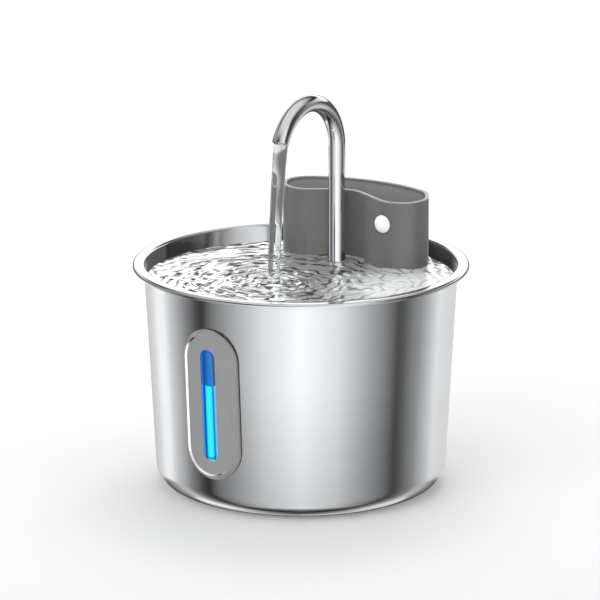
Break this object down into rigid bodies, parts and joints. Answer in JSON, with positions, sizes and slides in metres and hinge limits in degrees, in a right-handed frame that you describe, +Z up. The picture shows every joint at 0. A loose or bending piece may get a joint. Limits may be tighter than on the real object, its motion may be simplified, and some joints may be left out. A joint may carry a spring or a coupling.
{
  "type": "pet water fountain",
  "caption": "Round steel pet water fountain with a sight window, lift-out pump and filter housing, push button and swivelling gooseneck faucet.",
  "frame": {"origin": "middle of the bowl's footprint, on the surface that it stands on", "axes": "+Z up, -Y towards the viewer in front, +X to the viewer's right; the window is at the front left, the housing at the rear right"},
  "size_m": [0.2, 0.2, 0.2323],
  "materials": {
    "bowl_steel": "soft-polished stainless steel",
    "tube_steel": "mirror-polished stainless steel",
    "housing_plastic": "satin dark grey plastic",
    "lid_plastic": "satin dark grey plastic",
    "frame_plastic": "satin mid grey plastic",
    "inner_plastic": "satin light grey plastic",
    "sight_plastic": "clear plastic lit blue from behind",
    "button_white": "white satin plastic",
    "black_plastic": "black plastic",
    "dark_silicone": "dark silicone",
    "clear_silicone": "translucent silicone",
    "pump_resin": "black cast resin",
    "impeller_plastic": "white plastic",
    "magnet_ferrite": "grey ferrite",
    "shaft_ceramic": "polished white ceramic",
    "screw_steel": "plain stainless steel",
    "board_green": "green circuit board",
    "led_plastic": "clear plastic dome",
    "foam_blue": "open-cell sponge",
    "cotton_white": "needled filter cotton",
    "resin_amber": "ion-exchange resin beads",
    "carbon_black": "activated carbon granules"
  },
  "bodies": {
    "bowl_unit": {"foot_ring": "dark_silicone", "bowl": "bowl_steel", "window_frame": "frame_plastic", "window_lens": "sight_plastic", "window_gasket_outer": "dark_silicone", "window_gasket_inner": "dark_silicone", "window_backplate": "frame_plastic", "window_screws": "screw_steel"},
    "fountain_unit": {"pump_base": "housing_plastic", "base_feet": "clear_silicone", "base_deck": "housing_plastic", "deck_screws": "screw_steel", "housing_screws": "screw_steel", "housing_shell": "housing_plastic", "tube_cradle": "dark_silicone", "cord_grommet": "dark_silicone", "button_bezel": "black_plastic", "button_gasket": "dark_silicone", "tact_switch": "black_plastic", "switch_board": "board_green", "board_screws": "screw_steel", "pump_case": "pump_resin", "pump_volute": "black_plastic", "pump_inlet_cover": "black_plastic", "impeller_shaft": "shaft_ceramic", "shaft_bushes": "dark_silicone", "pump_feet": "clear_silicone", "pump_gland": "dark_silicone", "outlet_coupler": "clear_silicone", "foam_prefilter": "foam_blue", "led_lens": "led_plastic", "led_ring": "black_plastic", "led_board": "board_green"},
    "button": {"light_button": "button_white"},
    "lid": {"housing_lid": "lid_plastic", "lid_seal": "dark_silicone"},
    "cartridge": {"filter_frame": "inner_plastic", "filter_cotton": "cotton_white", "filter_resin": "resin_amber", "filter_carbon": "carbon_black"},
    "rotor": {"impeller": "impeller_plastic", "rotor_magnet": "magnet_ferrite"},
    "throttle": {"flow_slider": "inner_plastic"},
    "sleeve": {"tube_sleeve": "inner_plastic", "sleeve_orings": "dark_silicone"},
    "faucet": {"faucet_tube": "tube_steel"}
  },
  "joints": [
    {"name": "unit_lift", "type": "slide", "parent": "bowl_unit", "child": "fountain_unit", "axis": [0, 0, 1], "range_m": [0, 0.15]},
    {"name": "lid_lift", "type": "slide", "parent": "fountain_unit", "child": "lid", "axis": [0, 0, 1], "range_m": [0, 0.13]},
    {"name": "cartridge_lift", "type": "slide", "parent": "fountain_unit", "child": "cartridge", "axis": [0, 0, 1], "range_m": [0, 0.117]},
    {"name": "button_press", "type": "slide", "parent": "fountain_unit", "child": "button", "axis": [0.5446, 0.8387, 0], "range_m": [0, 0.0006], "stiffness_N_per_m": 1500},
    {"name": "sleeve_pull", "type": "slide", "parent": "fountain_unit", "child": "sleeve", "axis": [0, 0, 1], "range_m": [0, 0.045]},
    {"name": "faucet_swivel", "type": "hinge", "parent": "sleeve", "child": "faucet", "pos_m": [0.0215, 0.048, 0.12], "axis": [0, 0, 1], "range_deg": [-50, 45]},
    {"name": "impeller_spin", "type": "hinge", "parent": "fountain_unit", "child": "rotor", "pos_m": [0.02, 0.048, 0.026], "axis": [1, 0, 0], "continuous": true},
    {"name": "flow_throttle", "type": "slide", "parent": "fountain_unit", "child": "throttle", "axis": [0, 0, -1], "range_m": [0, 0.011]}
  ],
  "couplings": [
    {"joint": "cartridge_lift", "follows": "lid_lift", "ratio": 0.9}
  ]
}
